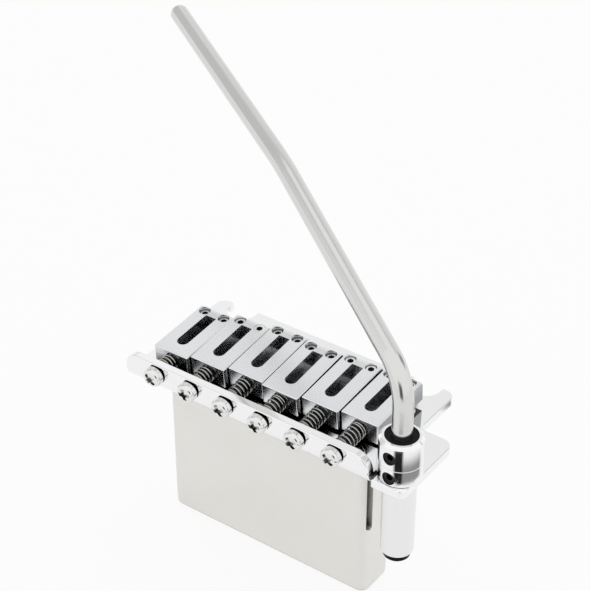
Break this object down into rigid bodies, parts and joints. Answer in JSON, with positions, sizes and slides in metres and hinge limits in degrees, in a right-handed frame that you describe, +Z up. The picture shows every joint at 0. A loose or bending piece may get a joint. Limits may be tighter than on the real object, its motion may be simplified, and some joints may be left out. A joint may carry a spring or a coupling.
{
  "type": "guitar tremolo bridge",
  "caption": "Knife-edge guitar tremolo bridge with individual block saddles on sprung screws, an inertia block below the plate and a push-in bent arm.",
  "frame": {"origin": "midway between the two knife edges, on the plate's top face", "axes": "+X from the bass side to the treble side, +Y towards the neck, +Z up out of the guitar's body"},
  "size_m": [0.1229, 0.0773, 0.1077],
  "materials": {
    "chrome_plating": "polished chrome on sheet steel and turned steel",
    "saddle_chrome": "polished chrome on cast blocks",
    "satin_chrome": "satin chrome on a bent steel rod",
    "satin_steel": "satin plated steel bar",
    "nickel_screw": "nickel-plated steel screws",
    "black_oxide": "black oxide on steel set screws",
    "spring_wire": "drawn steel wire",
    "black_nylon": "moulded black nylon",
    "black_rubber": "moulded black rubber"
  },
  "bodies": {
    "base": {"base_plate": "chrome_plating", "tremolo_block": "satin_steel", "block_screws": "nickel_screw", "lower_collar": "chrome_plating", "upper_collar": "chrome_plating", "arm_tube": "chrome_plating", "arm_bushing": "black_nylon", "tube_end_cap": "black_nylon"},
    "arm_ring": {"arm_ring": "black_rubber"},
    "arm": {"arm": "satin_chrome"},
    "tension_screw": {"tension_screw": "black_oxide"},
    "lock_screw": {"lock_screw": "black_oxide"},
    "spring_1": {"intonation_spring_1": "spring_wire"},
    "screw_1": {"intonation_screw_1": "nickel_screw"},
    "saddle_1": {"saddle_1": "saddle_chrome"},
    "height_screws_1": {"height_screws_1": "nickel_screw"},
    "spring_2": {"intonation_spring_2": "spring_wire"},
    "screw_2": {"intonation_screw_2": "nickel_screw"},
    "saddle_2": {"saddle_2": "saddle_chrome"},
    "height_screws_2": {"height_screws_2": "nickel_screw"},
    "spring_3": {"intonation_spring_3": "spring_wire"},
    "screw_3": {"intonation_screw_3": "nickel_screw"},
    "saddle_3": {"saddle_3": "saddle_chrome"},
    "height_screws_3": {"height_screws_3": "nickel_screw"},
    "spring_4": {"intonation_spring_4": "spring_wire"},
    "screw_4": {"intonation_screw_4": "nickel_screw"},
    "saddle_4": {"saddle_4": "saddle_chrome"},
    "height_screws_4": {"height_screws_4": "nickel_screw"},
    "spring_5": {"intonation_spring_5": "spring_wire"},
    "screw_5": {"intonation_screw_5": "nickel_screw"},
    "saddle_5": {"saddle_5": "saddle_chrome"},
    "height_screws_5": {"height_screws_5": "nickel_screw"},
    "spring_6": {"intonation_spring_6": "spring_wire"},
    "screw_6": {"intonation_screw_6": "nickel_screw"},
    "saddle_6": {"saddle_6": "saddle_chrome"},
    "height_screws_6": {"height_screws_6": "nickel_screw"}
  },
  "joints": [
    {"name": "arm_pull", "type": "slide", "parent": "base", "child": "arm_ring", "axis": [0, 0, 1], "range_m": [0, 0.028]},
    {"name": "arm_swing", "type": "hinge", "parent": "arm_ring", "child": "arm", "pos_m": [0.04073, -0.02734, 0], "axis": [0, 0, 1], "continuous": true},
    {"name": "tension_screw_turn", "type": "hinge", "parent": "base", "child": "tension_screw", "pos_m": [0.04073, -0.02734, 0.0076], "axis": [0, -1, 0], "range_deg": [-90, 90]},
    {"name": "lock_screw_turn", "type": "hinge", "parent": "base", "child": "lock_screw", "pos_m": [0.04073, -0.02734, 0.00195], "axis": [0, -1, 0], "range_deg": [-90, 90]},
    {"name": "saddle_height_1", "type": "hinge", "parent": "base", "child": "spring_1", "pos_m": [-0.02625, -0.03195, 0.0025], "axis": [1, 0, 0], "range_deg": [-2, 2]},
    {"name": "screw_turn_1", "type": "hinge", "parent": "spring_1", "child": "screw_1", "pos_m": [-0.02625, -0.03195, 0.0025], "axis": [0, 0.9973, 0.0728], "range_deg": [-1801, 721]},
    {"name": "intonation_1", "type": "slide", "parent": "spring_1", "child": "saddle_1", "axis": [0, 0.9973, 0.0728], "range_m": [-0.001, 0.0025], "deforming": ["intonation_spring_1"]},
    {"name": "height_travel_1", "type": "slide", "parent": "saddle_1", "child": "height_screws_1", "axis": [0, -0.0728, 0.9973], "range_m": [-0.00078, 0.00078]},
    {"name": "saddle_height_2", "type": "hinge", "parent": "base", "child": "spring_2", "pos_m": [-0.01575, -0.03195, 0.0025], "axis": [1, 0, 0], "range_deg": [-2, 2]},
    {"name": "screw_turn_2", "type": "hinge", "parent": "spring_2", "child": "screw_2", "pos_m": [-0.01575, -0.03195, 0.0025], "axis": [0, 0.995, 0.1003], "range_deg": [-1801, 721]},
    {"name": "intonation_2", "type": "slide", "parent": "spring_2", "child": "saddle_2", "axis": [0, 0.995, 0.1003], "range_m": [-0.001, 0.0025], "deforming": ["intonation_spring_2"]},
    {"name": "height_travel_2", "type": "slide", "parent": "saddle_2", "child": "height_screws_2", "axis": [0, -0.1003, 0.995], "range_m": [-0.00082, 0.00082]},
    {"name": "saddle_height_3", "type": "hinge", "parent": "base", "child": "spring_3", "pos_m": [-0.00525, -0.03195, 0.0025], "axis": [1, 0, 0], "range_deg": [-2, 2]},
    {"name": "screw_turn_3", "type": "hinge", "parent": "spring_3", "child": "screw_3", "pos_m": [-0.00525, -0.03195, 0.0025], "axis": [0, 0.9941, 0.1089], "range_deg": [-1801, 721]},
    {"name": "intonation_3", "type": "slide", "parent": "spring_3", "child": "saddle_3", "axis": [0, 0.9941, 0.1089], "range_m": [-0.001, 0.0025], "deforming": ["intonation_spring_3"]},
    {"name": "height_travel_3", "type": "slide", "parent": "saddle_3", "child": "height_screws_3", "axis": [0, -0.1089, 0.9941], "range_m": [-0.00087, 0.00087]},
    {"name": "saddle_height_4", "type": "hinge", "parent": "base", "child": "spring_4", "pos_m": [0.00525, -0.03195, 0.0025], "axis": [1, 0, 0], "range_deg": [-2, 2]},
    {"name": "screw_turn_4", "type": "hinge", "parent": "spring_4", "child": "screw_4", "pos_m": [0.00525, -0.03195, 0.0025], "axis": [0, 0.9938, 0.1116], "range_deg": [-1801, 721]},
    {"name": "intonation_4", "type": "slide", "parent": "spring_4", "child": "saddle_4", "axis": [0, 0.9938, 0.1116], "range_m": [-0.001, 0.0025], "deforming": ["intonation_spring_4"]},
    {"name": "height_travel_4", "type": "slide", "parent": "saddle_4", "child": "height_screws_4", "axis": [0, -0.1116, 0.9938], "range_m": [-0.00085, 0.00085]},
    {"name": "saddle_height_5", "type": "hinge", "parent": "base", "child": "spring_5", "pos_m": [0.01575, -0.03195, 0.0025], "axis": [1, 0, 0], "range_deg": [-2, 2]},
    {"name": "screw_turn_5", "type": "hinge", "parent": "spring_5", "child": "screw_5", "pos_m": [0.01575, -0.03195, 0.0025], "axis": [0, 0.9959, 0.0909], "range_deg": [-1801, 721]},
    {"name": "intonation_5", "type": "slide", "parent": "spring_5", "child": "saddle_5", "axis": [0, 0.9959, 0.0909], "range_m": [-0.001, 0.0025], "deforming": ["intonation_spring_5"]},
    {"name": "height_travel_5", "type": "slide", "parent": "saddle_5", "child": "height_screws_5", "axis": [0, -0.0909, 0.9959], "range_m": [-0.0009, 0.0009]},
    {"name": "saddle_height_6", "type": "hinge", "parent": "base", "child": "spring_6", "pos_m": [0.02625, -0.03195, 0.0025], "axis": [1, 0, 0], "range_deg": [-2, 2]},
    {"name": "screw_turn_6", "type": "hinge", "parent": "spring_6", "child": "screw_6", "pos_m": [0.02625, -0.03195, 0.0025], "axis": [0, 0.9982, 0.0603], "range_deg": [-1801, 721]},
    {"name": "intonation_6", "type": "slide", "parent": "spring_6", "child": "saddle_6", "axis": [0, 0.9982, 0.0603], "range_m": [-0.001, 0.0025], "deforming": ["intonation_spring_6"]},
    {"name": "height_travel_6", "type": "slide", "parent": "saddle_6", "child": "height_screws_6", "axis": [0, -0.0603, 0.9982], "range_m": [-0.00094, 0.00094]}
  ],
  "couplings": [
    {"joint": "screw_turn_1", "follows": "intonation_1", "rad_per_m": -12566},
    {"joint": "height_travel_1", "follows": "saddle_height_1", "m_per_rad": -0.022328},
    {"joint": "screw_turn_2", "follows": "intonation_2", "rad_per_m": -12566},
    {"joint": "height_travel_2", "follows": "saddle_height_2", "m_per_rad": -0.023481},
    {"joint": "screw_turn_3", "follows": "intonation_3", "rad_per_m": -12566},
    {"joint": "height_travel_3", "follows": "saddle_height_3", "m_per_rad": -0.02498},
    {"joint": "screw_turn_4", "follows": "intonation_4", "rad_per_m": -12566},
    {"joint": "height_travel_4", "follows": "saddle_height_4", "m_per_rad": -0.024381},
    {"joint": "screw_turn_5", "follows": "intonation_5", "rad_per_m": -12566},
    {"joint": "height_travel_5", "follows": "saddle_height_5", "m_per_rad": -0.025879},
    {"joint": "screw_turn_6", "follows": "intonation_6", "rad_per_m": -12566},
    {"joint": "height_travel_6", "follows": "saddle_height_6", "m_per_rad": -0.026898}
  ]
}
